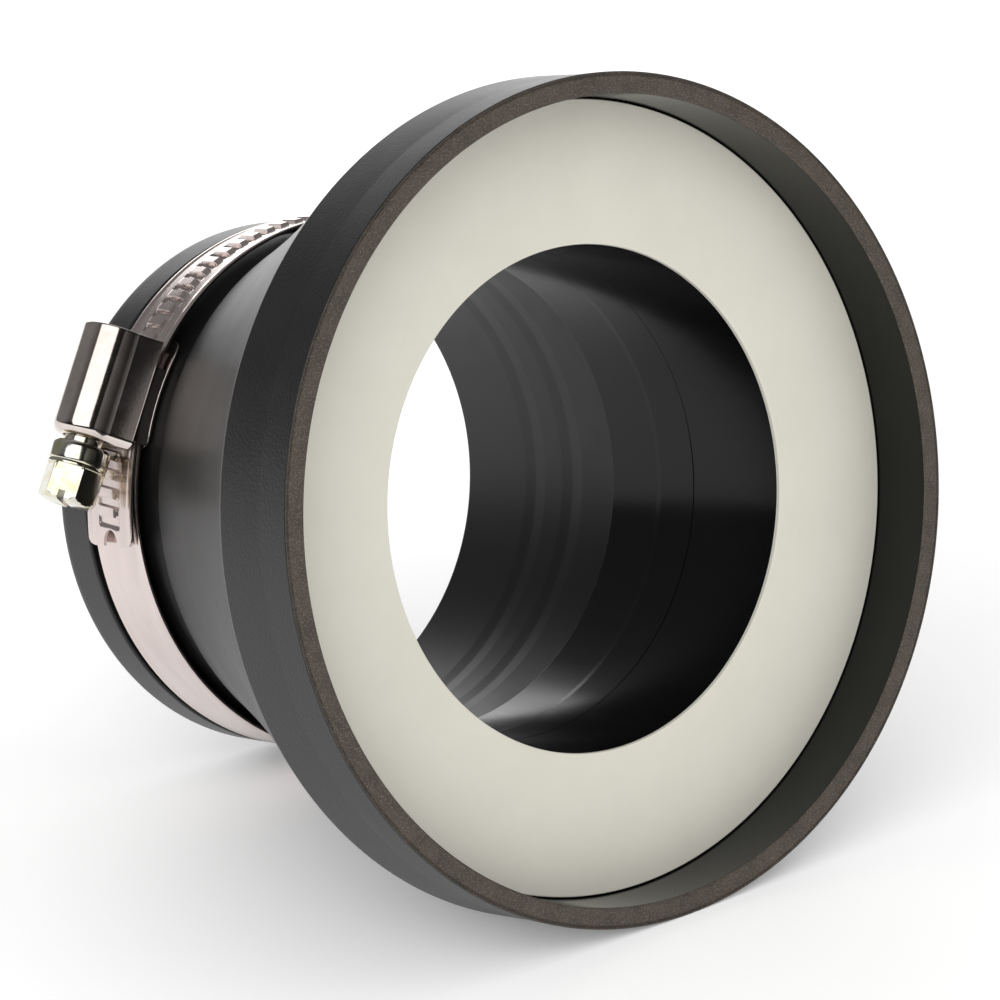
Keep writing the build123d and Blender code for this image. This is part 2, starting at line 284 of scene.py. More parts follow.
@dataclass(frozen=True)
class Finish:
    """A surface: a two-colour mottle that also varies the roughness, and a grain bump."""

    name: str
    dark: str
    light: str
    metallic: float
    roughness: tuple[float, float]
    mottle_mm: float
    grain_mm: float
    grain_height_mm: float
    anisotropic: float = 0.0
    specular: float = 0.5
    stretch: tuple[float, float, float] = (1.0, 1.0, 1.0)
    # Colour of the painted glints on the grain's high points; empty for none.
    grain_glint: str = ""

    def build(self) -> bpy.types.Material:
        """Make the node tree.

        Returns:
            The finished material.
        """
        material = bpy.data.materials.new(self.name)
        material.use_nodes = True
        tree = material.node_tree
        shader = tree.nodes["Principled BSDF"]
        place = add_node(tree, "ShaderNodeTexCoord").outputs["Object"]
        stretched = add_node(
            tree, "ShaderNodeMapping", Vector=place, Scale=self.stretch
        ).outputs["Vector"]
        patterns = ((self.mottle_mm, 4.0, 0.6), (self.grain_mm, 3.0, 0.55))
        mottle, grain = (
            add_node(
                tree,
                "ShaderNodeTexNoise",
                Vector=stretched,
                Scale=per_metre(size),
                Detail=detail,
                Roughness=roughness,
            ).outputs["Fac"]
            for size, detail, roughness in patterns
        )
        stops = tuple(zip(MOTTLE_SPAN, (self.dark, self.light)))
        colour = add_node(tree, "ShaderNodeValToRGB", stops, Fac=mottle).outputs["Color"]
        # Painted glints: pale specks put into the colour on the high points of the grain bump.
        if self.grain_glint:
            stops = tuple(zip(GLINT_SPAN, ("#000000", "#ffffff")))
            glints = add_node(tree, "ShaderNodeValToRGB", stops, Fac=grain).outputs["Color"]
            colour = add_node(
                tree,
                "ShaderNodeMix",
                data_type="RGBA",
                i0=glints,
                i6=colour,
                i7=linear(self.grain_glint),
            ).outputs[2]
        tree.links.new(colour, shader.inputs["Base Color"])
        low, high = self.roughness
        rough = add_node(
            tree, "ShaderNodeMapRange", Value=mottle, To_Min=low, To_Max=high
        ).outputs["Result"]
        tree.links.new(rough, shader.inputs["Roughness"])
        bump = add_node(
            tree,
            "ShaderNodeBump",
            Strength=1.0,
            Distance=self.grain_height_mm * MM,
            Height=grain,
        )
        tree.links.new(bump.outputs["Normal"], shader.inputs["Normal"])
        shader.inputs["Metallic"].default_value = self.metallic
        if self.metallic == 0:
            shader.inputs["IOR"].default_value = POLYMER_IOR
        shader.inputs["Specular IOR Level"].default_value = self.specular
        shader.inputs["Anisotropic"].default_value = self.anisotropic
        return material


# Moulded flexible vinyl with a fine leather grain from the mould: dull black that greys
# where light grazes it.
GRAINED_VINYL = Finish(
    "grained_black_vinyl", "#0f0f0f", "#171616", 0.0, (0.36, 0.45), 9.0, 0.5, 0.075
)
# The same vinyl from a polished part of the mould: darker and half glossy.
SMOOTH_VINYL = Finish(
    "smooth_black_vinyl", "#0b0b0b", "#121111", 0.0, (0.32, 0.42), 14.0, 1.2, 0.006,
    specular=0.14,
)
# The trimmed rim face: open grain, with pale specks of painted glint on the grain's high points.
TRIMMED_VINYL = Finish(
    "trimmed_vinyl_rim", "#433d37", "#504841", 0.0, (0.6, 0.75), 3.0, 0.26, 0.05,
    specular=0.3, grain_glint="#70675d",
)
# Inside the cup the vinyl is smooth and picks up the pale seal.
CUP_VINYL = Finish(
    "polished_black_vinyl", "#060807", "#0b0d0c", 0.0, (0.1, 0.16), 16.0, 1.5, 0.003,
    specular=0.3,
)
# Inside the socket the vinyl is half matt.
SOCKET_VINYL = Finish(
    "socket_black_vinyl", "#070707", "#0c0b0c", 0.0, (0.34, 0.46), 6.0, 0.8, 0.008,
    specular=0.4,
)
# Moulded ABS: hard, black and glossy, with faint rubbed patches.
GLOSS_ABS = Finish(
    "gloss_black_abs", "#030303", "#060606", 0.0, (0.12, 0.24), 7.0, 1.6, 0.003,
    specular=0.2, stretch=(1.0, 0.25, 1.0),
)
# Cast elastomer: even warm cream, very slightly mottled.
CREAM_SEAL = Finish(
    "cream_elastomer_seal", "#dfdccf", "#e2dfd2", 0.0, (0.46, 0.54), 12.0, 0.7, 0.006,
    specular=0.3,
)
# Cold-rolled stainless strip: bright with fine rolling lines.
STAINLESS_STRIP = Finish(
    "cold_rolled_stainless", "#d2c5c1", "#ded1cd", 1.0, (0.18, 0.26), 5.0, 0.5, 0.0012,
    anisotropic=0.3, stretch=(0.3, 1.0, 0.3),
)
# Pressed and tumbled stainless: smoother and more mirror-like.
STAINLESS_PRESSING = Finish(
    "tumbled_stainless", "#d0c4bd", "#ddd3cd", 1.0, (0.07, 0.13), 3.0, 0.45, 0.0025
)
# Bright zinc plate with a faint yellow passivation.
ZINC_PLATE = Finish(
    "bright_zinc_plate", "#d6cda4", "#e6e6e3", 1.0, (0.08, 0.18), 2.6, 0.5, 0.005
)


def dress(
    piece: bpy.types.Object,
    finishes: list[Finish],
    body: str,
    node: str,
) -> bpy.types.Object:
    """Give a piece its materials and its place in the frame.

    Args:
        piece: the finished mesh.
        finishes: materials, in slot order.
        body: the body it moves with.
        node: the CAD node that it stands for.

    Returns:
        The same piece.
    """
    for finish in finishes:
        piece.data.materials.append(finish.build())
    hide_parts(node)
    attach(piece, body)
    log.info("%s: %d faces on %s", piece.name, len(piece.data.polygons), body)
    return piece


# ---------------------------------------------------------------- the boot assembly


@dataclass
class BootAssembly:
    """The moulded boot, the rigid throat inside it and the cream seal. Sizes in mm.

    Every corner of an outline is (radius, depth behind the rim, rounding).
    """

    rim_radius: float = 70.0
    groove_inset: float = 0.5
    groove_half: float = 0.08
    groove_depth: float = 0.28
    rim_drop: float = 0.05
    cup_radius: float = 66.4
    cup_depth: float = 11.5
    straight_depth: float = 7.0
    side_depth: float = 17.0
    side_bulge: float = 0.35
    cone_start: tuple[float, float] = (69.75, 18.2)
    cone_end: tuple[float, float] = (48.6, 69.0)
    cone_hollow: float = 1.0
    cone_wall: float = 3.6
    neck_depth: float = 71.4
    seat_radius: float = 46.4
    lip_depth: float = 92.9
    lip_radius: float = 48.5
    socket_radius: float = 44.6
    stop_depth: float = 56.7
    grip_depth: float = 47.7
    tube_radius: float = 44.05
    throat_radius: float = 42.3
    ring_back: float = 12.3
    shelf_depth: float = 14.7
    shelf_width: float = 3.6
    insert_gap: float = 0.05
    disc_gap: float = 0.1
    seal_gap: float = 0.2
    line_depth: float = 34.0
    line_shape: tuple[tuple[float, float], ...] = (
        (0.45, 0.0), (0.13, 0.0), (0.05, 0.12), (-0.05, 0.12), (-0.13, 0.0), (-0.45, 0.0),
    )
    crease_depth: float = 43.5
    crease_half: float = 0.6
    socket_rings: tuple[float, ...] = (71.0, 82.0)
    ring_reach: float = 3.0
    ring_height: float = 0.12
    ring_blend: float = 8.0
    turns: int = 320

    def cone_radius(self, depth: float, inset: float) -> float:
        """Radius of the hollow cone: a straight line less 4 h s (1 - s), less an inset."""
        (first, start), (last, end) = self.cone_start, self.cone_end
        share = (depth - start) / (end - start)
        return first + (last - first) * share - 4 * self.cone_hollow * share * (1 - share) - inset

    def cone_line(self) -> list[tuple[float, float, float]]:
        """Sharp corners close together along the outside of the cone."""
        depths = np.linspace(self.cone_start[1], self.cone_end[1], 18)[1:-1]
        return [(self.cone_radius(depth, 0), depth, 0) for depth in depths]

    def rim_line(self) -> list[tuple[float, float, float]]:
        """Rim face from its inner edge to its outer edge, with the fine groove near the outside."""
        groove = self.rim_radius - self.groove_inset
        return [
            (self.cup_radius, 0.0, 0.45),
            (groove - 0.26, 0.0, 0.08),
            (groove - self.groove_half, self.groove_depth, 0.06),
            (groove + self.groove_half, self.groove_depth, 0.06),
            (groove + 0.2, self.rim_drop, 0.05),
            (self.rim_radius, self.rim_drop, 0.22),
        ]

    def socket_line(self) -> list[tuple[float, float, float]]:
        """Socket wall from the mouth to the stop, with its soft moulding rings."""
        wall = []
        for depth in reversed(self.socket_rings):
            wall += [
                (self.socket_radius, depth + self.ring_reach, self.ring_blend),
                (self.socket_radius + self.ring_height, depth, self.ring_blend),
                (self.socket_radius, depth - self.ring_reach, self.ring_blend),
            ]
        return wall

    def zones(self, middle: np.ndarray, cavity: float) -> np.ndarray:
        """Material slot of each side of the outline, by where its middle lies.

        Args:
            middle: middles of the sides, as an array of (radius, depth).
            cavity: depth of the back of the shelf behind the cup.

        Returns:
            The slots, in the outline's order.
        """
        radius, depth = middle.T
        slack, face = 0.1, 0.3
        zone = np.full(len(middle), int(Zone.CONE))
        zone[(radius > self.cone_start[0] - 0.6) & (depth < self.cone_start[1])] = Zone.SIDE
        zone[(depth < face) & (radius < self.rim_radius - slack)] = Zone.RIM
        zone[(radius < self.cup_radius + slack) & (depth < cavity) & (depth > face)] = Zone.CUP
        zone[(radius > self.seat_radius + slack) & (depth > self.lip_depth - 0.5)] = Zone.SIDE
        zone[(radius < self.socket_radius + 0.4) & (depth > self.stop_depth - 10)] = Zone.SOCKET
        return zone

    def boot(self) -> bpy.types.Object:
        """Turn the boot's wall section round the axis.

        Returns:
            The boot.
        """
        bulge = self.rim_radius + self.side_bulge
        shelf = self.cup_radius - self.shelf_width
        cavity = self.shelf_depth + self.cone_wall
        inside = self.tube_radius + self.insert_gap
        corners = self.rim_line() + [
            (self.rim_radius, self.straight_depth, 8.0),
            (bulge, self.side_depth, 0.5),
            (*self.cone_start, 0.5),
            *self.cone_line(),
            (*self.cone_end, 1.0),
            (self.seat_radius, self.neck_depth, 0.5),
            (self.seat_radius, self.lip_depth, 0.3),
            (self.lip_radius, self.lip_depth, 0.5),
            (self.lip_radius, LENGTH, 2.4),
            (self.socket_radius, LENGTH, 0.7),
            *self.socket_line(),
            (self.socket_radius, self.stop_depth, 0),
            (inside, self.stop_depth, 0),
            (inside, self.grip_depth, 0),
            (self.cone_radius(self.grip_depth, self.cone_wall), self.grip_depth, 0),
            (shelf, cavity, 0),
            (shelf, self.shelf_depth, 0),
            (self.cup_radius, self.shelf_depth, 0),
        ]
        outline = rounded(corners)
        piece = lathe("boot_moulding", outline, self.turns)
        middle = (outline + np.roll(outline, -1, axis=0)) / 2
        zone = self.zones(middle, cavity)
        piece.data.polygons.foreach_set("material_index", np.tile(zone, self.turns))
        finishes = [GRAINED_VINYL, TRIMMED_VINYL, CUP_VINYL, SMOOTH_VINYL, SOCKET_VINYL]
        return dress(piece, finishes, "boot_assembly", "boot")

    def throat(self) -> bpy.types.Object:
        """Turn the throat insert: a disc behind the seal and a tube with a fine line round it.

        Returns:
            The insert.
        """
        disc = self.cup_radius - self.disc_gap
        bore = self.throat_radius
        corners = [
            (bore, self.ring_back, 0.15),
            (disc, self.ring_back, 0),
            (disc, self.shelf_depth, 0),
            (self.tube_radius, self.shelf_depth, 0),
            (self.tube_radius, self.stop_depth, 0),
            (bore + 0.25, self.stop_depth, 0.15),
            (bore + 0.05, self.crease_depth + self.crease_half, 4.0),
            (bore, self.crease_depth - self.crease_half, 0.6),
            *[(bore + rise, self.line_depth + place, 0) for place, rise in self.line_shape],
            (bore, self.ring_back + 2, 0),
        ]
        piece = lathe("throat_liner", rounded(corners), self.turns)
        return dress(piece, [GLOSS_ABS], "boot_assembly", "throat_insert")

    def seal(self) -> bpy.types.Object:
        """Turn the flat seal, with a small roundness on its exposed edges.

        Returns:
            The seal.
        """
        outer = self.cup_radius - self.seal_gap
        corners = [
            (self.throat_radius, self.cup_depth, 0.25),
            (outer, self.cup_depth, 0.2),
            (outer, self.ring_back, 0),
            (self.throat_radius, self.ring_back, 0),
        ]
        piece = lathe("cream_seal", rounded(corners), self.turns)
        return dress(piece, [CREAM_SEAL], "boot_assembly", "sealing_ring")

    def build(self) -> None:
        """Build the three pieces."""
        self.boot()
        self.throat()
        self.seal()


# ---------------------------------------------------------------- the clamp


@dataclass
class ClampFrame:
    """Where the clamp's pieces lie: the tangent line of the screw. Sizes in mm and degrees."""

    housing_turn: float = 149.7
    axis_radius: float = 53.77
    outwards: np.ndarray = field(init=False)
    to_head: np.ndarray = field(init=False)
    to_cup: np.ndarray = field(init=False)

    def __post_init__(self) -> None:
        """Work out the three directions."""
        turn = radians(self.housing_turn)
        self.outwards = np.array([cos(turn), 0.0, sin(turn)])
        self.to_head = np.array([-sin(turn), 0.0, cos(turn)])
        self.to_cup = np.array([0.0, -1.0, 0.0])

    def place(self, cup: np.ndarray, out: np.ndarray, head: np.ndarray) -> np.ndarray:
        """Points from distances towards the cup, away from the axis and towards the head."""
        point = cup[..., None] * self.to_cup + out[..., None] * self.outwards
        return point + head[..., None] * self.to_head + np.array([0.0, CLAMP_Y, 0.0])


@dataclass
class Band:
    """The strip: a spiral with pressed ridges, rolled edges and a forked tail. Sizes in mm."""

    frame: ClampFrame
    width: float = 14.3
    thickness: float = 0.7
    radius: float = 47.54
    step: float = 0.22
    start: float = 140.06
    tail_start: float = 522.11
    tail_length: float = 16.2
    tail_radius: float = 66.0
    notch: float = 2.3
    lobe: float = 2.2
    pitch: float = 3.2
    ridge_height: float = 0.55
    ridge_length: float = 6.4
    ridge_width: float = 1.75
    window_depth: float = 0.32
    worm_radius: float = 4.6
    ridges: tuple[int, int] = (-40, 6)
    groove: float = 0.14
    bead: tuple[float, float] = (1.3, 0.95)
    edge_width: float = 0.25
    edge_drop: float = 0.16
    tooth_radius: float = 49.38
    fork_length: float = 4.6
    lean_from: tuple[float, float] = (-160.0, -140.0)
    ridge_rows: tuple[float, ...] = (0.4, 0.74, 0.82, 0.93, 1.01, 1.3)
    ridge_columns: tuple[float, ...] = (2.5, 2.7, 2.85, 3.0, 3.15, 3.3, 3.45, 3.8, 4.4)
    plain_rows: int = 170
    tip_rows: int = 16

    def centre_line(self, turn: np.ndarray, proud: np.ndarray) -> tuple[np.ndarray, np.ndarray]:
        """Point (x, z) of the strip: a spiral r = r0 + step (turn - start) / 90, then an arc.

        Args:
            turn: turn angle in degrees.
            proud: height above the inner face.

        Returns:
            The x and z arrays.
        """
        angle = np.radians(turn)
        radius = self.radius + self.step * (np.minimum(turn, self.tail_start) - self.start) / 90
        end = radians(self.tail_start)
        back = self.tail_radius - (self.radius + self.step * (self.tail_start - self.start) / 90)
        tail = turn > self.tail_start
        reach = np.where(tail, self.tail_radius, radius) + proud
        x = reach * np.cos(angle) - np.where(tail, back * cos(end), 0.0)
        z = reach * np.sin(angle) - np.where(tail, back * sin(end), 0.0)
        return x, z

    def turn_at(self, along: np.ndarray) -> np.ndarray:
        """Turn angle at a length past the middle of the housing, in degrees."""
        middle = self.frame.housing_turn + 360.0
        lead = along - radians(self.tail_start - middle) * self.tooth_radius
        return np.where(
            lead < 0,
            middle + np.degrees(along / self.tooth_radius),
            self.tail_start + np.degrees(lead / self.tail_radius),
        )

    def end_line(self, across: np.ndarray) -> np.ndarray:
        """How far short of its full length the tail stops, at each place across it.

        The notch is a half circle, square root of (n2 - v2), and each corner an arc,
        c minus the square root of (c2 - (|v| - h + c)2).
        """
        size = np.abs(across)
        half = self.width / 2
        notch = np.sqrt(np.clip(self.notch**2 - size**2, 0, None)) * 1.25
        corner = np.clip(size - half + self.lobe, 0, self.lobe)
        return notch + self.lobe - np.sqrt(self.lobe**2 - corner**2)

    def slant(self) -> float:
        """Slope of a ridge: the worm's pitch over its circumference."""
        return self.pitch / (2 * pi * self.worm_radius)

    def rows(self, first: float, fork: float) -> np.ndarray:
        """Places of the grid's rows: even on plain strip, and at each ridge's own corners.

        Args:
            first: place of the strip's inner end.
            fork: place where the tail's shaped end begins.

        Returns:
            The places, in order.
        """
        low, high = self.ridges
        corners = np.array(self.ridge_rows)
        around = np.concatenate([[-self.pitch / 2], -corners[::-1], [0.0], corners])
        centres = (np.arange(low - 1, high + 2) + 0.5) * self.pitch
        toothed = (centres[:, None] + around).ravel()
        toothed = toothed[toothed < fork - 0.2]
        plain = np.linspace(first, toothed[0] - 0.5, self.plain_rows)
        return np.concatenate([plain, toothed, [fork]])

    def ridge(self, along: np.ndarray, across: np.ndarray) -> np.ndarray:
        """Height of the pressed ridges and of the dips between them.

        Both repeat every pitch, slanted to the worm: a flat-topped bump over the nearest
        ridge, and a dip where the bump is nought, both faded out towards the strip's edges.
        """
        phase = (along - across * self.slant()) / self.pitch - 0.5
        low, high = self.ridges
        near = np.abs(phase - np.clip(np.round(phase), low, high)) * self.pitch
        live = smooth(low - 0.95, low - 0.72, phase) * (1 - smooth(high + 0.72, high + 0.95, phase))
        half = self.ridge_width / 2
        bump = 1 - smooth(half - 0.14, half + 0.14, near)
        reach = self.ridge_length / 2
        top = 1 - smooth(reach - 1.1, reach + 0.1, np.abs(across))
        dip = 1 - smooth(reach - 0.2, reach + 0.15, np.abs(across))
        height = self.ridge_height * bump * top - self.window_depth * (1 - bump) * dip
        return height * live

    def build(self) -> bpy.types.Object:
        """Carry the strip's closed section along the spiral, with rows that lean with the ridges.

        Returns:
            The band.
        """
        half = self.width / 2
        corner = half - self.lobe
        positive = np.concatenate([
            self.notch * np.sin(np.linspace(0, pi / 2, 7)),
            self.ridge_columns,
            corner + self.lobe * np.sin(np.linspace(0, pi / 2, 9)),
        ])
        positive = np.unique(np.round(positive, 4))
        across = np.concatenate([-positive[:0:-1], positive])
        first = -radians(self.frame.housing_turn + 360 - self.start) * self.tooth_radius
        bend = radians(self.tail_start - self.frame.housing_turn - 360) * self.tooth_radius
        last = bend + self.tail_length
        along = self.rows(first, last - self.fork_length)
        lean = self.slant() * smooth(*self.lean_from, along)[:, None] * across[None, :]
        strip = along[:, None] + lean
        share = np.linspace(0, 1, self.tip_rows)[1:, None]
        tip = strip[-1:] + share * (last - self.end_line(across)[None, :] - strip[-1:])
        grid = np.vstack([strip, tip])
        sideways = np.broadcast_to(across[None, :], grid.shape)
        turn = self.turn_at(grid)
        bead = smooth(half - self.bead[0], half - self.bead[1], np.abs(sideways))
        edge = smooth(half - self.edge_width, half, np.abs(sideways))
        outer = self.thickness - self.groove * (1 - bead) - self.edge_drop * edge
        outer = outer + self.ridge(grid, sideways)
        inner = self.edge_drop * edge
        x_out, z_out = self.centre_line(turn, outer)
        x_in, z_in = self.centre_line(turn, inner)
        y = CLAMP_Y - sideways
        top = np.stack([x_out, y, z_out], axis=-1)
        under = np.stack([x_in, y, z_in], axis=-1)[:, ::-1]
        piece = loft("band_strip", np.concatenate([top, under], axis=1), False, True, 50.0)
        return dress(piece, [STAINLESS_STRIP], "band", "clamp_band")


@dataclass
class Housing:
    """The pressed tunnel over the worm, and its skirts beside the band. Sizes in mm."""

    frame: ClampFrame
    far: float = 9.5
    near: float = 10.3
    outside: float = 6.1
    inside: float = 5.0
    end_wall: float = 0.9
    shank: float = 3.7
    sleeve_top: float = 49.33
    flare: float = 2.0
    skirt_half: float = 8.1
    skirt_sheet: float = 0.6
    skirt_far: float = 5.0
    skirt_near: float = 8.6
    shelf_inset: float = 1.4
    shelf_rise: float = 0.15
    saddle_top: float = 47.2
    leg_rows: int = 8
    arch_rows: int = 49
    skirt_rows: int = 40
    sharp: float = 40.0

    def tunnel(self) -> bpy.types.Object:
        """Carry the sheet's section (distance from the screw, place along it) round an arch.

        The arch is a leg, a half circle about the screw and a leg, and the legs spread
        evenly towards their feet.

        Returns:
            The tunnel.
        """
        outline = rounded([
            (self.outside, -self.far, 0.3),
            (self.outside, self.near, 1.7),
            (self.shank, self.near, 0.25),
            (self.shank, self.near - self.end_wall, 0),
            (self.inside, self.near - self.end_wall, 0.4),
            (self.inside, self.end_wall - self.far, 0.4),
            (self.shank, self.end_wall - self.far, 0),
            (self.shank, -self.far, 0.2),
        ], 8)
        size, along = outline.T
        drop = self.frame.axis_radius - self.sleeve_top
        legs = np.linspace(-drop, 0, self.leg_rows)[:-1]
        swing = np.linspace(0, pi, self.arch_rows)
        cup, out = [], []
        for side in (1, -1):
            leg = side * (size - self.flare * legs[:, None] / drop)
            cup.append(leg)
            out.append(np.broadcast_to(legs[:, None], leg.shape))
        arch_cup = np.cos(swing)[:, None] * size
        arch_out = np.sin(swing)[:, None] * size
        cups = np.vstack([cup[0], arch_cup, cup[1][::-1]])
        outs = np.vstack([out[0], arch_out, out[1][::-1]]) + self.frame.axis_radius
        heads = np.broadcast_to(along, cups.shape)
        return loft("tunnel", self.frame.place(cups, outs, heads), False, sharp=self.sharp)

    def skirt(self, side: int) -> bpy.types.Object:
        """One bent flange: a shelf over the band and a wall down to the saddle.

        Args:
            side: 1 on the cup's side, -1 on the other.

        Returns:
            The flange.
        """
        along = np.linspace(-self.skirt_far, self.skirt_near, self.skirt_rows)
        top = self.sleeve_top + self.shelf_rise
        wall = self.skirt_half - self.skirt_sheet
        shelf = self.inside + self.shelf_inset
        sections = []
        for place in along:
            foot = (self.saddle_top**2 - place**2) ** 0.5
            outline = rounded([
                (shelf, top, 0),
                (self.skirt_half, top, 0.1),
                (self.skirt_half, foot, 0.15),
                (wall, foot, 0.15),
                (wall, self.sleeve_top, 0.2),
                (shelf, self.sleeve_top, 0),
            ])
            cup, out = side * outline[:, 0], outline[:, 1]
            sections.append(self.frame.place(cup, out, np.full(len(outline), place)))
        return loft("skirt", np.array(sections), False, sharp=self.sharp)

    def build(self) -> bpy.types.Object:
        """Join the tunnel and its flanges.

        Returns:
            The housing.
        """
        piece = join([self.tunnel(), self.skirt(1), self.skirt(-1)], "worm_housing")
        finish_mesh(piece, self.sharp)
        return dress(piece, [STAINLESS_PRESSING], "clamp", "clamp_housing")


@dataclass
class Saddle:
    """The curved plate under the band. Sizes in mm and degrees."""

    frame: ClampFrame
    low: float = 46.7
    top: float = 47.2
    half: float = 8.12
    far: float = 11.0
    near: float = 9.2
    corner: float = 2.4

    def build(self) -> bpy.types.Object:
        """Carry a rounded plate section along an arc of the band's turn.

        Towards each end the section narrows as a quarter circle: half width less corner
        radius plus the square root of (c2 - (c - d)2), at a distance d from the end.

        Returns:
            The saddle.
        """
        outline = rounded([
            (self.low, -self.half, 0.12),
            (self.top, -self.half, 0.2),
            (self.top, self.half, 0.2),
            (self.low, self.half, 0.12),
        ])
        first = self.frame.housing_turn - degrees(self.far / self.top)
        last = self.frame.housing_turn + degrees(self.near / self.top)
        ends = (1 - np.cos(np.linspace(0, pi / 2, 10))) * degrees(self.corner / self.top)
        middle = np.linspace(first + ends[-1], last - ends[-1], 50)[1:-1]
        turn = np.concatenate([first + ends, middle, (last - ends)[::-1]])
        angle = np.radians(turn)[:, None]
        inset = np.minimum(angle - angle[0], angle[-1] - angle) * self.top
        short = np.clip(self.corner - inset, 0, None)
        half = self.half - self.corner + np.sqrt(self.corner**2 - short**2)
        radius, across = outline[:, 0][None, :], outline[:, 1][None, :]
        y = CLAMP_Y + across * half / self.half
        sections = np.stack([radius * np.cos(angle), y, radius * np.sin(angle)], axis=-1)
        piece = loft("saddle_plate", sections, False, sharp=40.0)
        return dress(piece, [STAINLESS_STRIP], "clamp", "housing_saddle")


@dataclass
class Screw:
    """Worm, shank, collar and slotted hexagon. Sizes in mm.

    The collar's two shapes are (place, radius) and the hexagon's is (place, largest radius).
    The collar's foot is counted from where the collar starts, and its top and the hexagon
    from where the hexagon starts.
    """

    frame: ClampFrame
    far: float = 8.45
    near: float = 9.25
    core: float = 3.55
    crest: float = 4.6
    pitch: float = 3.2
    crest_half: tuple[float, float] = (0.3, 0.85)
    thread_ends: tuple[float, float] = (0.6, 1.6)
    thread_step: float = 0.12
    foot_gap: float = 0.01
    collar_start: float = 11.4
    collar_foot: tuple[tuple[float, float], ...] = (
        (0.0, 4.0), (0.0, 4.6), (0.15, 4.9), (0.45, 5.1), (0.9, 5.2),
    )
    collar_top: tuple[tuple[float, float], ...] = (
        (-1.2, 5.2), (-0.95, 5.16), (-0.75, 5.05), (-0.55, 5.15), (-0.3, 5.2), (-0.1, 5.15),
        (0.0, 5.0),
    )
    hex_shape: tuple[tuple[float, float], ...] = (
        (0.0, 4.98), (0.25, 5.196), (5.3, 5.196), (5.55, 5.0), (5.8, 4.75), (6.0, 4.45),
        (6.12, 4.2),
    )
    face_radius: float = 3.8
    hex_start: float = 15.7
    end: float = 21.9
    flats: float = 9.0
    hex_turn: float = 45.0
    slot_width: float = 1.2
    slot_depth: float = 1.6
    slot_room: float = 2.0
    around: int = 120
    sharp: float = 28.0

    def hexagon(self, angle: np.ndarray) -> np.ndarray:
        """Distance to a hexagon's side: half its flats over the cosine from the nearest one."""
        away = np.mod(angle - radians(self.hex_turn), pi / 3)
        nearest = np.where(away > pi / 6, away - pi / 3, away)
        return self.flats / 2 / np.cos(nearest)

    def worm(self, angle: np.ndarray, along: np.ndarray) -> np.ndarray:
        """Radius of the worm: the core plus a rounded ridge that moves a pitch each turn."""
        phase = along / self.pitch - (angle + pi / 2) / (2 * pi)
        near = np.abs(phase - np.round(phase)) * self.pitch
        short, long = self.thread_ends
        fade = smooth(-self.far + short, -self.far + long, along)
        fade = fade * (1 - smooth(self.near - long, self.near - short, along))
        ridge = 1 - smooth(*self.crest_half, near)
        return self.core + (self.crest - self.core) * ridge * fade

    def build(self) -> bpy.types.Object:
        """Carry rings along the screw, from the worm's end to the hexagon's end.

        Returns:
            The screw.
        """
        angle = np.linspace(0, 2 * pi, self.around, endpoint=False)
        thread = np.arange(-self.far, self.near, self.thread_step)
        start, top = self.collar_start, self.hex_start
        side = self.hexagon(angle)
        rings = [(self.near, self.core), (start - self.foot_gap, self.core)]
        rings += [(start + place, radius) for place, radius in self.collar_foot]
        rings += [(top + place, radius) for place, radius in self.collar_top]
        rings += [(top + place, np.minimum(side, reach)) for place, reach in self.hex_shape]
        rings.append((self.end, np.minimum(side, self.face_radius)))
        radii = [self.worm(angle[None, :], thread[:, None])]
        radii += [np.broadcast_to(radius, (1, self.around)) for _, radius in rings]
        places = np.concatenate([thread, [place for place, _ in rings]])
        radius = np.vstack(radii)
        along = np.broadcast_to(places[:, None], radius.shape)
        cup = radius * np.cos(angle)
        out = radius * np.sin(angle) + self.frame.axis_radius
        piece = loft("hex_screw", self.frame.place(cup, out, along), False, sharp=self.sharp)
        self.cut_slot(piece)
        return dress(piece, [ZINC_PLATE], "screw", "clamp_screw")

    def cut_slot(self, piece: bpy.types.Object) -> None:
        """Cut the driver slot across the hexagon's end.

        Args:
            piece: the screw.
        """
        corner = np.array([(-1, -1), (1, -1), (1, 1), (-1, 1)], float)
        turn = radians(self.hex_turn)
        length = corner[:, 0] * self.flats
        width = corner[:, 1] * self.slot_width / 2
        cup = length * cos(turn) - width * sin(turn)
        out = length * sin(turn) + width * cos(turn)
        ends = np.array([self.end - self.slot_depth, self.end + self.slot_room])[:, None]
        heads = np.broadcast_to(ends, (2, 4))
        cups = np.broadcast_to(cup, (2, 4))
        outs = np.broadcast_to(out, (2, 4)) + self.frame.axis_radius
        cutter = loft("slot_cutter", self.frame.place(cups, outs, heads), False)
        cut = piece.modifiers.new("slot", "BOOLEAN")
        cut.operation = "DIFFERENCE"
        cut.solver = "EXACT"
        cut.object = cutter
        graph = bpy.context.evaluated_depsgraph_get()
        mesh = bpy.data.meshes.new_from_object(piece.evaluated_get(graph))
        piece.modifiers.clear()
        piece.data = mesh
        bpy.data.objects.remove(cutter)
        finish_mesh(piece, self.sharp)


# ---------------------------------------------------------------- the studio


@dataclass(frozen=True)
class SoftBox:
    """One rectangular light that points at the flange. Sizes and places in mm, power in watts."""

    name: str
    place: tuple[float, float, float]
    size: tuple[float, float]
    power: float
    target: tuple[float, float, float] = (0.0, -60.0, 0.0)

    def build(self) -> None:
        """Make the light and turn it to its target."""
        data = bpy.data.lights.new(self.name, "AREA")
        data.shape = "RECTANGLE"
        data.size, data.size_y = self.size[0] * MM, self.size[1] * MM
        data.energy = self.power
        lamp = bpy.data.objects.new(self.name, data)
        aim = (Vector(self.target) - Vector(self.place)).to_track_quat("-Z", "Y")
        lamp.matrix_world = Matrix.Translation(Vector(self.place) * MM) @ aim.to_matrix().to_4x4()
        bpy.context.scene.collection.objects.link(lamp)


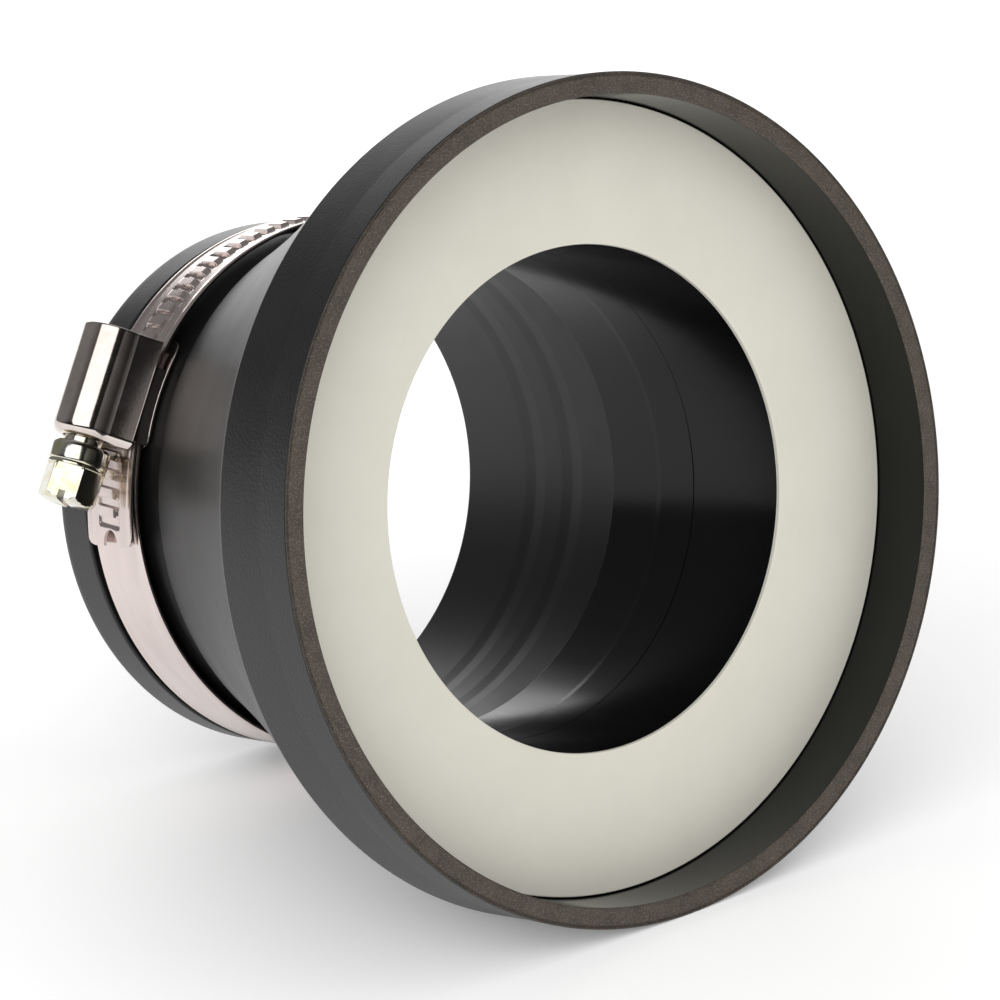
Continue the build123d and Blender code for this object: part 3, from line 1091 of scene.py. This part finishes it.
LEFT_SOFTBOX = SoftBox("left_softbox", (-980, -680, 650), (1400, 900), 6.6)
BACK_SOFTBOX = SoftBox("back_softbox", (560, 940, 400), (800, 520), 3.0)


@dataclass
class Studio:
    """Camera, floor and lights. Places in mm."""

    camera_at: tuple[float, float, float] = (-343.3, -513.6, 86.3)
    forward: tuple[float, float, float] = (0.6017, 0.7840, -0.1531)
    up: tuple[float, float, float] = (0.1990, 0.0360, 0.9787)
    lens: float = 119.38
    sensor: float = 36.0
    floor_reach: float = 3000.0
    tilt: float = 12.1
    rest_line: tuple[float, float] = (-103.0, -70.05)
    floor_glow: float = 0.18
    fill: float = 0.77
    up_behind: tuple[float, float, float] = (0.0, 0.7, 0.7)
    dome_span: tuple[float, float] = (0.35, 0.75)
    dark: str = "#1c1c1c"
    dim: str = "#7c7c7c"

    def camera(self) -> None:
        """Make the camera and choose it."""
        data = bpy.data.cameras.new("camera")
        data.lens = self.lens
        data.sensor_width = self.sensor
        camera = bpy.data.objects.new("camera", data)
        forward = Vector(self.forward).normalized()
        right = forward.cross(Vector(self.up)).normalized()
        up = right.cross(forward)
        turn = Matrix((right, up, -forward)).transposed().to_4x4()
        camera.matrix_world = Matrix.Translation(Vector(self.camera_at) * MM) @ turn
        bpy.context.scene.collection.objects.link(camera)
        bpy.context.scene.camera = camera

    def floor(self) -> None:
        """Make the pale floor, tilted because the flange lies on its rim and its spout."""
        mesh = bpy.data.meshes.new("floor")
        size = self.floor_reach
        slope = radians(self.tilt)
        y, z = self.rest_line
        corners = [
            (side * size, y + along * size * cos(slope), z + along * size * sin(slope))
            for side, along in ((-1, -1), (1, -1), (1, 1), (-1, 1))
        ]
        mesh.from_pydata((np.array(corners) * MM).tolist(), [], [(0, 1, 2, 3)])
        floor = bpy.data.objects.new("floor", mesh)
        bpy.context.scene.collection.objects.link(floor)
        material = bpy.data.materials.new("white_paper_sweep")
        material.use_nodes = True
        shader = material.node_tree.nodes["Principled BSDF"]
        shader.inputs["Base Color"].default_value = linear("#fcfcfc")
        shader.inputs["Roughness"].default_value = 0.7
        shader.inputs["Emission Color"].default_value = linear("#ffffff")
        shader.inputs["Emission Strength"].default_value = self.floor_glow
        mesh.materials.append(material)

    def world(self) -> None:
        """White backdrop and even fill, with a dark room and a dim ceiling to mirror."""
        world = bpy.data.worlds.new("white_studio")
        bpy.context.scene.world = world
        world.use_nodes = True
        tree = world.node_tree
        tree.nodes.clear()
        rays = add_node(tree, "ShaderNodeLightPath")
        white = linear("#ffffff")
        fill = add_node(tree, "ShaderNodeBackground", Color=white, Strength=self.fill)
        direction = add_node(tree, "ShaderNodeTexCoord").outputs["Generated"]
        behind = add_node(
            tree,
            "ShaderNodeVectorMath",
            operation="DOT_PRODUCT",
            i0=direction,
            i1=self.up_behind,
        ).outputs["Value"]
        stops = tuple(zip(self.dome_span, (self.dark, self.dim)))
        dome = add_node(tree, "ShaderNodeValToRGB", stops, Fac=behind).outputs["Color"]
        dark = add_node(tree, "ShaderNodeBackground", Color=dome, Strength=1.0)
        plain = add_node(tree, "ShaderNodeBackground", Color=white, Strength=1.0)
        lit = add_node(
            tree,
            "ShaderNodeMixShader",
            i0=rays.outputs["Is Glossy Ray"],
            i1=fill.outputs["Background"],
            i2=dark.outputs["Background"],
        )
        mix = add_node(
            tree,
            "ShaderNodeMixShader",
            i0=rays.outputs["Is Camera Ray"],
            i1=lit.outputs["Shader"],
            i2=plain.outputs["Background"],
        )
        add_node(tree, "ShaderNodeOutputWorld", Surface=mix.outputs["Shader"])

    def build(self) -> None:
        """Set up the whole studio."""
        self.camera()
        self.floor()
        self.world()
        LEFT_SOFTBOX.build()
        BACK_SOFTBOX.build()
        bpy.context.scene.view_settings.view_transform = View.PLAIN.value


def main() -> None:
    """Build the flange and its studio."""
    BootAssembly().build()
    clamp = ClampFrame()
    Band(clamp).build()
    Housing(clamp).build()
    Saddle(clamp).build()
    Screw(clamp).build()
    Studio().build()


if __name__ == "__main__":
    main()
